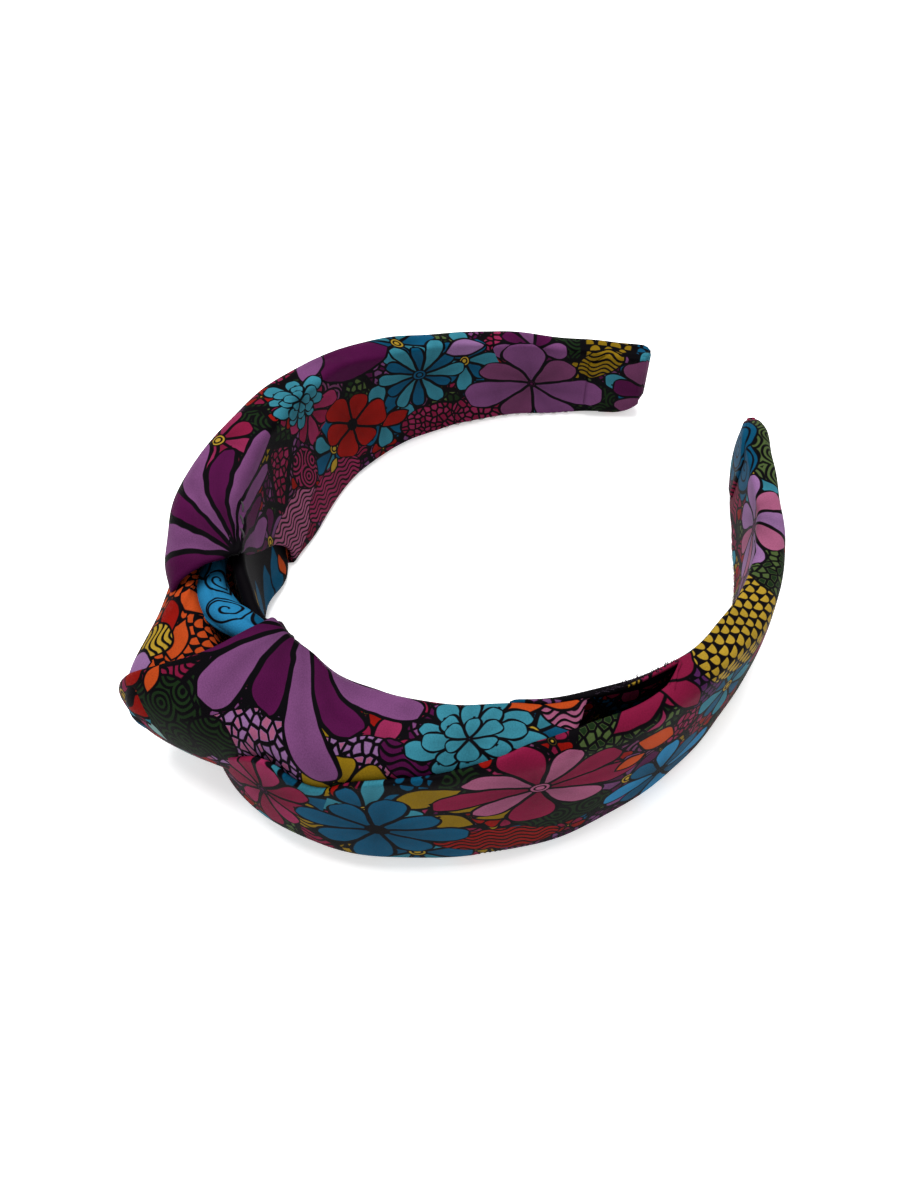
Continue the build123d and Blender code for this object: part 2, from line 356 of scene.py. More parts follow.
GATHER = (29.5, -0.62)             # where the left cover's mouth is gathered: run and phi


def left_folds(s, phi):
    turn = turned(phi)
    along, across = s - GATHER[0] + 5, (turn - GATHER[1]) * 12
    away = np.hypot(along, across)
    angle = np.arctan2(across, along)
    creases = np.sin(angle * 11 + 0.5) * ease(away, 3, 10) * ease(away, 40, 12)
    pulled = -2.6 * hump(s, GATHER[0], 5.0) * hump(turn, GATHER[1], 0.45)
    foot = 2.9 * hump(s, 75, 14) * hump(turn, -2.3, 0.75)
    return 0.5 * creases + pulled + foot + 0.7 * swell(s, phi, 4.1)


upper = Surface(upper_section, even_rows(-25, 86), folds=upper_folds)
right_cover = Surface(right_section, even_rows(-8, RIGHT_TIP_RUN), folds=right_folds)
left_cover = Surface(left_section, even_rows(22, 200), side=-1, folds=left_folds)

# (run, out from, out to, z from, z to) of the two strands between the left leg and the knot
UNDER_STRAND = [
    (8, 7.5, 35.0, 13.0, 37.0), (12, 7.0, 38.4, 12.0, 38.8), (16, 6.6, 36.9, 8.0, 40.0),
    (20, 6.4, 31.0, 4.6, 40.8), (24, 6.2, 25.4, 2.8, 41.4), (28, 6.2, 21.2, 2.4, 42.0),
    (34, 6.0, 17.2, 3.4, 41.6), (42, 6.0, 14.0, 6.0, 38.0),
]
RETURN_STRAND = [
    (3, 1.0, 5.6, 36.0, 42.4), (8, 1.6, 8.4, 37.0, 43.6), (13, 3.4, 11.6, 36.4, 43.4),
    (19, 5.6, 14.4, 34.6, 41.8), (25, 6.8, 14.6, 32.0, 40.4), (32, 7.0, 13.4, 29.0, 37.6),
    (40, 7.0, 11.6, 26.0, 34.0),
]


def strand_surface(table, end, folds, step_down=0.0):
    """A rounded strand with lengthwise folds: (depth, count, slant). Step_down is the share of
    its height lost on its inner part, where another strand lies on it."""
    depth, count, slant = folds

    def section(phi, run):
        low, high, z_low, z_high = (smooth(table, run, column) for column in (1, 2, 3, 4))
        out, z = leg_section(phi, high - low, z_low, z_high, 0.48, 0.48)
        out = out + low
        return out, z_low + (z - z_low) * (1 - step_down * ease(out, 16, 8.5))

    def strand_folds(s, phi):
        return depth * np.sin(phi * count + s / slant) + 0.3 * swell(s, phi, 2.2)

    return Surface(section, even_rows(table[0][0], end, 0.8), side=-1, folds=strand_folds)


under_strand = strand_surface(UNDER_STRAND, 42, (0.45, 5, 3.5), 0.36)
return_strand = strand_surface(RETURN_STRAND, 40, (0.28, 4, 2.6))

# The hoop and its sleeve, as in the CAD part
HOOP_OUT, HOOP_THICK = 2.1, 1.6
HOOP_END_RUN, SLEEVE_END_RUN = 190.1, 192.2
TURN_RUNS, TURN_DEGREES = [0, 55.4, 110.7, 160.9, 196.2], [0, 52, 96, 126, 137.5]
HOOP_REACH = place(HOOP_RUN, 0.0, 0.0)[1] / MM - CROWN_Y


def hoop_surface(side, end, grow_out=0.0, grow_side=0.0, folds=None):
    """Half of the hoop, from under the knot to one tip, grown out for the sleeve round it. It
    lies lower and is narrower towards the tips."""
    def section(phi, run):
        reach = (place(run, 0.0, 0.0)[..., 1] / MM - CROWN_Y) / HOOP_REACH
        middle = 22.5 - 11.0 * reach
        turn_share = np.interp(run, TURN_RUNS, TURN_DEGREES) / TURN_DEGREES[-1]
        half = (34.0 - 22.0 * turn_share ** 2.4) / 2 + grow_side
        thick = HOOP_THICK + 2 * grow_out
        out, z = leg_section(phi, thick, middle - half, middle + half, 0.45, 0.45, 0.0)
        return out + HOOP_OUT - grow_out, z

    return Surface(section, even_rows(0, end, 2.0), side=side, folds=folds)


def sleeve_folds(s, phi):
    return 0.12 * np.sin(s / 2.3 + 2 * np.sin(phi))


def left_sleeve_folds(s, phi):
    # the sleeve hangs loose from the hoop where the left cover's mouth lays it bare
    return sleeve_folds(s, phi) + 6.0 * hump(s, 53, 11) * hump(turned(phi), -2.4, 0.5)


# --- meshes ---------------------------------------------------------------------------------
def new_object(name, vertices, faces, smooth_shaded=True):
    mesh = bpy.data.meshes.new(name)
    mesh.from_pydata(vertices.tolist(), [], faces)
    mesh.polygons.foreach_set("use_smooth", np.full(len(mesh.polygons), smooth_shaded))
    mesh.update()
    made = bpy.data.objects.new(name, mesh)
    bpy.context.collection.objects.link(made)
    return made


def grid_shell(name, points, u, v, closed, thick, welded=None):
    """A thin closed cloth shell from a grid of points on its outer face. Points are (rows,
    columns, 3); u and v hold one more column than points where the grid is closed round.
    Welded marks the rows whose two column edges meet in a seam."""
    rows, columns = points.shape[:2]
    if closed:
        padded = np.concatenate([points[:, -1:], points, points[:, :1]], axis=1)
        across = np.gradient(padded, axis=1)[:, 1:-1]
    else:
        across = np.gradient(points, axis=1)
    normal = np.cross(np.gradient(points, axis=0), across)
    normal /= np.linalg.norm(normal, axis=2, keepdims=True) + 1e-12
    from_middle = points - points.mean(axis=1, keepdims=True)
    inside_out = (normal * from_middle).sum() < 0
    if inside_out:
        normal = -normal
    if welded is not None:
        both = normal[:, 0] + normal[:, -1]
        both /= np.linalg.norm(both, axis=1, keepdims=True) + 1e-12
        normal[welded, 0] = normal[welded, -1] = both[welded]
    inner = points - normal * thick * MM
    layer = rows * columns
    faces, uvs = [], []

    def quads(corners, turn=1):
        """Faces from four corners, each (row, column, 1 on the inner face), or turned over."""
        corners = corners[::turn]
        faces.append(np.stack([a * columns + b % columns + layer * deep for a, b, deep in corners], 1))
        uvs.append(np.stack([np.stack([u[a, b], v[a, b]], axis=-1) for a, b, deep in corners], 1))

    def rim(a, b, a_next, b_next, turn):
        quads([(a, b, 0), (a_next, b_next, 0), (a_next, b_next, 1), (a, b, 1)], turn)

    down, around = np.arange(rows - 1), np.arange(columns if closed else columns - 1)
    i, j = (index.ravel() for index in np.meshgrid(down, around, indexing="ij"))
    for deep, turn in ((0, 1), (1, -1)):
        quads([(i, j, deep), (i + 1, j, deep), (i + 1, j + 1, deep), (i, j + 1, deep)], turn)
    for a, turn in ((0, 1), (rows - 1, -1)):
        rim(a, around, a, around + 1, turn)
    if not closed:
        if welded is not None:
            down = down[~(welded[:-1] & welded[1:])]
        for b, turn in ((0, -1), (columns - 1, 1)):
            rim(down, b, down + 1, b, turn)
    turn = -1 if inside_out else 1
    faces, uvs = np.concatenate(faces)[:, ::turn], np.concatenate(uvs)[:, ::turn]
    made = new_object(name, np.concatenate([points.reshape(-1, 3), inner.reshape(-1, 3)]), faces.tolist())
    made.data.uv_layers.new(name="cloth").data.foreach_set("uv", uvs.reshape(-1).astype(np.float32))
    if welded is not None:
        weld_edges(made.data, rows, columns, welded)
    return made


def weld_edges(mesh, rows, columns, welded):
    """Joins the first and last columns of a grid shell in the welded rows."""
    shell = bmesh.new()
    shell.from_mesh(mesh)
    shell.verts.ensure_lookup_table()
    pairs = {}
    for row in np.flatnonzero(welded):
        for layer in (0, rows * columns):
            first = row * columns + layer
            pairs[shell.verts[first + columns - 1]] = shell.verts[first]
    bmesh.ops.weld_verts(shell, targetmap=pairs)
    shell.to_mesh(mesh)
    shell.free()


def closed_tube(name, surface, start, end, edge_hem, columns, thick=FABRIC, step=1.0):
    """A tube of cloth from one edge, folded in by edge_hem, to another. Each edge is one run,
    or a table of (phi, run)."""
    share = np.arange(columns + 1) / columns
    phi = -np.pi + TURN * share
    start, end = (
        smooth(edge, phi) if isinstance(edge, list) else np.full_like(phi, edge) for edge in (start, end)
    )
    flat_from = start + edge_hem[-1][0]
    steps = max(2, int(round((end.max() - start.mean()) / step)))
    s = [start + back for back, inset in edge_hem]
    s = np.array(s + [flat_from + (end - flat_from) * k / steps for k in range(1, steps + 1)])
    inset = np.zeros_like(s)
    inset[:len(edge_hem)] = np.array(edge_hem)[:, 1:]
    bottom, whole = surface.bottom_and_round(s)
    v = bottom - whole + share * whole
    points = surface.at(s[:, :-1], v[:, :-1], inset[:, :-1])
    return grid_shell(name, points, surface.u_at(s), v, True, thick)


def open_tube(name, surface, rows, lip_phi, lip_hem, end_phi, columns, meet):
    """A sheet of cloth round a section from a folded lip, down the outer side and on to
    end_phi; from run meet on its two edges are one seam."""
    lip, far = surface.v_of(rows, lip_phi), surface.v_of(rows, end_phi)
    fold = ease(rows, meet, meet - 14)
    back, depth = np.array(lip_hem).T[:, :, None] * fold
    flat_from = lip + back[-1]
    share = np.linspace(0, 1, columns)[1:, None]
    v = np.concatenate([lip + back, flat_from + (far - flat_from) * share]).T
    inset = np.concatenate([depth, np.zeros((columns - 1, len(rows)))]).T
    s = np.repeat(rows[:, None], v.shape[1], axis=1)
    points = surface.at(s, v, inset)
    bottom, whole = surface.bottom_and_round(s)
    printed = np.where(v > bottom, v - whole, v)
    return grid_shell(name, points, surface.u_at(s), printed, False, FABRIC, rows >= meet)


# the ends of a right and a left blend from the knot to the legs, across each hinge; nothing here blends the
# pieces with them
RIGHT_START, RIGHT_END = place(11.0, 12.0, 22.0), place(33.0, 12.0, 22.0)
LEFT_START, LEFT_END = place(-16.0, 12.0, 22.0), place(-38.0, 12.0, 22.0)


def bend_right(obj):
    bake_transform(obj)


def bend_left(obj):
    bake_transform(obj)


# the edges of the wrap and of the left leg's open mouth: (phi, run)
WRAP_EDGE = [
    (-3.1416, -10.6), (-2.2, -10.0), (-1.2, -9.0), (-0.4, -8.0), (0.1, -8.6), (0.6, -12.0), (1.1, -15.6),
    (1.6, -17.4), (2.1, -15.5), (2.6, -12.0), (3.1416, -10.6),
]
WRAP_END = [
    (-3.1416, 68.0), (-2.2, 72.0), (-1.2, 75.0), (-0.5, 76.0), (0.0, 71.0), (0.45, 65.5), (1.0, 62.0),
    (2.0, 62.0), (3.1416, 68.0),
]
MOUTH_EDGE = [
    (-3.1416, 56.0), (-2.4, 59.0), (-2.0, 54.0), (-1.6, 45.0), (-1.25, 39.0), (-0.9, 34.0), (-0.6, 30.5),
    (0.0, 27.0), (0.8, 25.4), (1.6, 26.5), (2.4, 36.0), (3.1416, 56.0),
]
# the lip of the right cover's mouth, down to its pocket: (run, phi)
RIGHT_LIP = [
    (-8, 1.50), (0, 1.45), (6.8, 1.30), (11, 1.12), (14, 1.08), (17, 1.18), (20, 1.23), (23.5, 1.22),
    (27, 1.12), (33, 1.02), (38, 0.96), (44, 0.87), (49, 0.79), (54, 0.71), (59, 0.58), (64.4, 0.52),
    (71, 0.44), (84, 0.26), (91, 0.0), (98, -0.45),
]
POCKET_END = RIGHT_LIP[-1][0]
END_GAP = 0.02                     # between a cover's last row and its section's last point

wrap = closed_tube("knot_wrap_cloth", upper, WRAP_EDGE, WRAP_END, hem(7.0, 2.8, 7), 200)
left = closed_tube("left_leg_cloth", left_cover, MOUTH_EDGE, TIP_RUN - END_GAP, hem(5.0, 1.8, 6), 160)

cover_rows = np.append(np.arange(-8, RIGHT_TIP_RUN, 1.0), RIGHT_TIP_RUN - END_GAP)
lip_phi = smooth(RIGHT_LIP, np.minimum(cover_rows, POCKET_END))
# the cover's inner edge: under the foot at the knot, and up the inner side to the lip from there
under_phi = np.pi + 0.55 + (np.pi - 1.00) * ease(cover_rows, 42, 64)
right = open_tube(
    "right_leg_cloth", right_cover, cover_rows, lip_phi, hem(6.0, 1.7, 6), under_phi, 150, POCKET_END
)
strand_a = closed_tube("under_strand_cloth", under_strand, 8.2, 41.8, RAW_EDGE, 110, step=0.8)
strand_b = closed_tube("return_strand_cloth", return_strand, 3.2, 39.8, RAW_EDGE, 64, step=0.8)


def half_tube(name, surface, thick):
    """Half of the hoop or of its sleeve, from under the knot to one tip."""
    return closed_tube(name, surface, 0.0, surface.rows[-1], RAW_EDGE, 72, thick, step=2.0)


SLEEVE_GROWN = (0.8, 1.2)          # the sleeve past the hoop's faces and past its edges
right_face = hoop_surface(1, SLEEVE_END_RUN, *SLEEVE_GROWN, sleeve_folds)
left_face = hoop_surface(-1, SLEEVE_END_RUN, *SLEEVE_GROWN, left_sleeve_folds)
sleeve_right = half_tube("sleeve_cloth_right", right_face, 0.6)
sleeve_left = half_tube("sleeve_cloth_left", left_face, 0.6)
hoop_right = half_tube("hoop_right", hoop_surface(1, HOOP_END_RUN), 0.7)
hoop_left = half_tube("hoop_left", hoop_surface(-1, HOOP_END_RUN), 0.7)

FLAP_LENGTH = 19.0
FLAP_LOW, FLAP_HIGH = -2.35, -0.80          # the phi of its lower and its upper edge


def tip_flap(name, surface, end):
    """The cloth folded over a tip and turned back on the inner face, as a thin patch."""
    run = np.linspace(end - FLAP_LENGTH, end - 1.4, 24)
    s, part = np.meshgrid(run, np.linspace(0, 1, 26), indexing="ij")
    low, high = surface.v_at(s, FLAP_LOW), surface.v_at(s, FLAP_HIGH)
    narrowed = 0.16 * (1 - ease(s, end - FLAP_LENGTH, end - 12.0))
    v = low + (high - low) * (narrowed + part * (1 - 2 * narrowed))
    # the raised patch sinks into the leg within a step or two of its edges
    edge = np.minimum(np.minimum(part, 1 - part) * 26, (s - run[0]) / 0.77)
    points = surface.at(s, v, -0.75 * ease(edge, -0.5, 1.6) - 0.1)
    return grid_shell(name, points, surface.u_at(s), v, False, 0.7)


flap_right = tip_flap("tip_flap_right", right_cover, RIGHT_TIP_RUN)
flap_left = tip_flap("tip_flap_left", left_cover, TIP_RUN)


def thread_rings(centre, side, up, radius, around):
    """Rings of points round a thread's middle line; the radius is in mm, or one for each ring."""
    angle = TURN * np.arange(around) / around
    spokes = side[..., None, :] * np.cos(angle)[:, None] + up[..., None, :] * np.sin(angle)[:, None]
    return centre[:, None] + spokes * np.reshape(radius, (-1, 1, 1)) * MM


def threads(name, rings, smooth_shaded):
    """Closed threads as one object, from their rings: (threads, along, around, 3)."""
    rings = np.array(rings)
    count, along, around = rings.shape[:3]
    faces = []
    for base in range(0, count * along * around, along * around):
        for ring in range(base, base + (along - 1) * around, around):
            for a in range(around):
                b = (a + 1) % around
                faces.append([ring + a, ring + b, ring + around + b, ring + around + a])
        first, last = list(range(base, base + around)), base + (along - 1) * around
        faces += [first[::-1], list(range(last, last + around))]
    return new_object(name, rings.reshape(-1, 3), faces, smooth_shaded)


def thread_row(name, surface, middles, phi, length=2.6, radius=0.24, slant=0.0):
    """Hand stitches: short arched threads whose two ends dip into the cloth."""
    t = np.linspace(0, 1, 9)
    rings = []
    for middle in middles:
        s = middle + length * (t - 0.5)
        arch = radius * (2.2 * np.sin(np.pi * t) - 1.0) + 0.12
        centre = surface.at(s, surface.v_at(s, phi) + slant * (t - 0.5), -arch)
        ahead = np.gradient(centre, axis=0)
        ahead /= np.linalg.norm(ahead, axis=1, keepdims=True)
        side = np.cross(ahead, np.array([0, 0, 1.0]))
        side /= np.linalg.norm(side, axis=1, keepdims=True)
        rings.append(thread_rings(centre, side, np.cross(side, ahead), radius, 8))
    return threads(name, rings, True)


def frayed_edge(name, surface, roots, phi):
    """Short loose yarn ends that stand up along a raw edge, no two alike."""
    t = np.array([0.0, 0.5, 1.0])
    rings = []
    for k, root in enumerate(roots):
        tall, sideways, back = (
            math.modf(abs(math.sin(k * 12.99 + 78.2 * j)) * 4375.8)[0] for j in (1, 2, 3)
        )
        length = 0.25 + 1.1 * tall ** 2
        s = root + 2.4 * (sideways - 0.5) * t ** 1.5
        v = surface.v_at(root, phi) - 0.6 + 1.4 * (back - 0.3) * t
        centre = surface.at(s, v, 0.5 - (length + 0.5) * t)
        rings.append(thread_rings(centre, *np.eye(3)[:2], (0.15, 0.12, 0.05), 5))
    return threads(name, rings, False)


SEAM_PHI = -2.28                   # the seams lie low on the inner side
fray = frayed_edge("pocket_fray", right_cover, np.arange(76, 97, 0.22), -0.50)
seam_right = thread_row("seam_thread_right", right_cover, np.arange(134, 180, 4.0), SEAM_PHI, 2.2, 0.2)
seam_left = thread_row("seam_thread_left", left_cover, np.arange(134, 176, 4.0), SEAM_PHI, 2.2, 0.2)
seam_gather = thread_row("gather_thread", left_cover, [34.0, 38.0, 42.0], -0.95, slant=0.8)
seam_sleeve = thread_row("sleeve_thread", left_face, [19.4, 22.6, 25.8], -1.57)

# --- shader trees ---------------------------------------------------------------------------
SOFT = 0.22                        # softness of a printed line's edge, mm


class Value:
    """A number in a shader tree, which takes part in ordinary arithmetic."""

    def __init__(self, nodes, socket):
        self.nodes, self.socket = nodes, socket

    def use(self, operation, *others):
        return self.nodes.math(operation, self, *others)

    def __add__(self, other):
        return self.use("ADD", other)

    def __sub__(self, other):
        return self.use("SUBTRACT", other)

    def __rsub__(self, other):
        return self.nodes.math("SUBTRACT", other, self)

    def __mul__(self, other):
        return self.use("MULTIPLY", other)

    def __truediv__(self, other):
        return self.use("DIVIDE", other)

    def __abs__(self):
        return self.use("ABSOLUTE")

    __radd__, __rmul__ = __add__, __mul__


class Nodes:
    """Short ways to add shader nodes to a tree."""

    def __init__(self, tree):
        self.tree = tree

    def plug(self, node, inputs):
        """Links sockets to a node's inputs, or sets them to constants."""
        for key, value in inputs.items():
            value = getattr(value, "socket", value)
            if hasattr(value, "is_linked"):
                self.tree.links.new(value, node.inputs[key])
            else:
                node.inputs[key].default_value = value

    def add(self, kind, inputs=None, **settings):
        node = self.tree.nodes.new(kind)
        for key, value in settings.items():
            setattr(node, key, value)
        self.plug(node, inputs or {})
        return node

    def math(self, operation, *values, clamp=False):
        node = self.add("ShaderNodeMath", dict(enumerate(values)), operation=operation, use_clamp=clamp)
        return Value(self, node.outputs[0])

    def vector(self, operation, *values):
        return self.add("ShaderNodeVectorMath", dict(enumerate(values)), operation=operation).outputs[0]

    def scaled(self, arrow, scale):
        node = self.add("ShaderNodeVectorMath", {0: arrow, "Scale": scale}, operation="SCALE")
        return node.outputs[0]

    def length(self, arrow):
        return Value(self, self.add("ShaderNodeVectorMath", {0: arrow}, operation="LENGTH").outputs["Value"])

    def mix(self, share, a, b):
        return self.add("ShaderNodeMix", {0: share, 6: a, 7: b}, data_type="RGBA").outputs[2]

    def below(self, a, b, soft=SOFT):
        """1 where a is below b, falling to 0 over soft."""
        return self.math("MULTIPLY_ADD", self.math("SUBTRACT", b, a), 1.0 / soft, 0.5, clamp=True)

    def split(self, socket, kind="XYZ"):
        """The first two parts of a place, or of a colour."""
        return [Value(self, part) for part in self.add("ShaderNodeSeparate" + kind, {0: socket}).outputs][:2]

    def cells(self, spot, scale, randomness=1.0, feature="F1"):
        return self.add(
            "ShaderNodeTexVoronoi", {"Vector": spot, "Scale": scale, "Randomness": randomness},
            voronoi_dimensions="2D", feature=feature,
        )

    def noise(self, spot, scale, detail, dimensions="2D"):
        return self.add(
            "ShaderNodeTexNoise", {"Vector": spot, "Scale": scale, "Detail": detail},
            noise_dimensions=dimensions,
        )

    def bump(self, shader, height, strength, distance):
        bump = self.add("ShaderNodeBump", {"Strength": strength, "Distance": distance, "Height": height})
        self.plug(shader, {"Normal": bump.outputs[0]})


def new_group(name, inputs, outputs):
    """A shader group, its nodes, its given inputs by name, and its output node."""
    group = bpy.data.node_groups.new(name, "ShaderNodeTree")
    for way, sockets in (("INPUT", inputs), ("OUTPUT", outputs)):
        for label, kind in sockets.items():
            group.interface.new_socket(label, in_out=way, socket_type="NodeSocket" + kind)
    n = Nodes(group)
    given = {socket.name: Value(n, socket) for socket in n.add("NodeGroupInput").outputs if socket.name}
    return group, n, given, n.add("NodeGroupOutput")


# --- cloth print ----------------------------------------------------------------------------
INK = {
    "black": "0a070c", "orchid": "824c80", "lilac": "a073a8", "plum": "551046", "violet": "5c2862",
    "teal": "3a8a9e", "blue": "0b587c", "sky": "2c8cc0", "aqua": "8fb8b4", "crimson": "8e1a42",
    "rose": "a02c5a", "pink": "b06084", "red": "9c140c", "orange": "d4521f", "ochre": "9a7a14",
    "yellow": "c4a032", "green": "1c3218", "moss": "55693a", "mauve": "7a4068",
}
INK_DEPTH = 0.43                   # how much light the printed cloth gives back, against the full ink


def ink(name):
    """A named ink as a linear colour."""
    text = INK[name]
    channels = [int(text[k:k + 2], 16) / 255 for k in (0, 2, 4)]
    linear = [c / 12.92 if c <= 0.04045 else ((c + 0.055) / 1.055) ** 2.4 for c in channels]
    return tuple(c * INK_DEPTH for c in linear) + (1.0,)


BLACK = ink("black")


def flower_group():
    """A flower drawn round the origin: rounded petals in two inks by turns, with a black outline,
    and a ringed heart. Hole is the share of the radius the heart takes, and Line is half the
    width of the black between two petals."""
    group, n, given, gives = new_group(
        "printed_flower",
        {"Place": "Vector", "Radius": "Float", "Petals": "Float", "Turn": "Float", "Hole": "Float",
         "Point": "Float", "Line": "Float", "Petal": "Color", "Inner": "Color", "Heart": "Color"},
        {"Colour": "Color", "Mask": "Float"},
    )
    x, y = n.split(given["Place"])
    petals, line = given["Petals"], given["Line"]
    away = (x * x + y * y).use("SQRT")
    angle = n.math("ARCTAN2", y, x) + (given["Turn"] + TURN)
    turns = (angle / TURN).use("FRACT") * petals
    number = turns.use("FLOOR")
    # q is 0 on a petal's middle line and 1 between two petals
    q = abs(turns.use("FRACT") * 2.0 - 1.0)
    odd = (number * 0.5).use("FRACT") * 2.0
    uneven = ((number * 12.9).use("SINE") * 43.7).use("FRACT")
    radius = given["Radius"] * (1.0 - (odd * 0.13 + uneven * 0.10))
    share = away / radius
    # the petal's half width as a share of the room it has: full, then rounded in to its tip
    past = ((share - 0.52) / 0.48).use("MAXIMUM", 0.0).use("MINIMUM", 1.0)
    room = (1.0 - past.use("POWER", given["Point"])).use("MAXIMUM", 0.0).use("POWER", 0.5)
    edge = ((room - q) * (away * math.pi / petals)).use("MINIMUM", radius - away)
    # the ink is drawn thinner towards the petal's end and its sides
    wash = share * 0.46 + q * 0.16 + 0.62
    petal = n.scaled(n.mix(odd, given["Petal"], given["Inner"]), wash)
    colour = n.mix(n.below(line, edge), BLACK, petal)
    hole = given["Hole"] * given["Radius"]
    heart = n.mix(n.below(abs(away - hole * 0.45), 0.3), given["Heart"], BLACK)
    heart = n.mix(n.below(hole - line, away), heart, BLACK)
    in_heart = n.below(away, hole)
    mask = n.below(line * -0.8, edge).use("MAXIMUM", in_heart)
    n.plug(gives, {"Colour": n.mix(in_heart, colour, heart), "Mask": mask})
    return group


def filler_group():
    """The small all-over drawings between the flowers, in two inks: pebbles, rings, waves and
    scales, each as an ink share (0 line, 1 first ink, 2 second ink)."""
    drawings = dict.fromkeys(("Pebbles", "Rings", "Waves", "Scales"), "Float")
    group, n, given, gives = new_group("printed_fillers", {"Place": "Vector"}, drawings)
    spot, ahead = given["Place"], 400.0   # rows are counted from far off, so that none is negative
    x, y = n.split(spot)
    pebble_size, ring_size = 0.42, 0.13     # as texture scales
    gap = Value(n, n.cells(spot, pebble_size, 0.85, "DISTANCE_TO_EDGE").outputs["Distance"])
    tint = n.split(n.cells(spot, pebble_size, 0.85).outputs["Color"], "Color")[0]
    pebbles = n.below(0.17, gap, 0.08) * (tint.use("GREATER_THAN", 0.5) + 1.0)
    away = Value(n, n.cells(spot, ring_size, 0.9).outputs["Distance"]) * (1 / ring_size / 1.45)
    wave = ((y + ahead + (x * 0.85).use("SINE") * 0.9) / 1.9).use("FRACT")
    # scales: rows of overlapping round drops
    row = (y + ahead) / 2.3
    column = ((x + ahead) / 3.7 + (row.use("FLOOR") * 0.5).use("FRACT")).use("FRACT") - 0.5
    lift = row.use("FRACT") - 0.12
    reach = (column * column * 4.4 + lift * lift).use("SQRT")
    n.plug(gives, {
        "Pebbles": pebbles, "Rings": n.below(0.52, away.use("FRACT"), 0.16),
        "Waves": n.below(0.42, wave, 0.14), "Scales": n.below(reach, 0.74, 0.1),
    })
    return group


FLOWER, FILLERS = flower_group(), filler_group()
BORDER = 0.7                       # the black round a patch

# what the cloth between the large motifs shows: (from this share of the patches on, drawing, inks)
GROUND = [
    (0.00, "Pebbles", "crimson", "rose"), (0.16, "Rings", "green", "green"),
    (0.30, "Scales", "ochre", "ochre"), (0.42, "Waves", "crimson", "rose"),
    (0.55, "Pebbles", "plum", "orchid"), (0.68, "Scales", "blue", "blue"),
    (0.80, "Rings", "mauve", "mauve"), (0.90, "Pebbles", "green", "moss"),
]
LARGE_FLOWERS = {"Petal": ("orchid", "teal", "rose", "blue"), "Inner": ("plum", "blue", "crimson", "teal")}


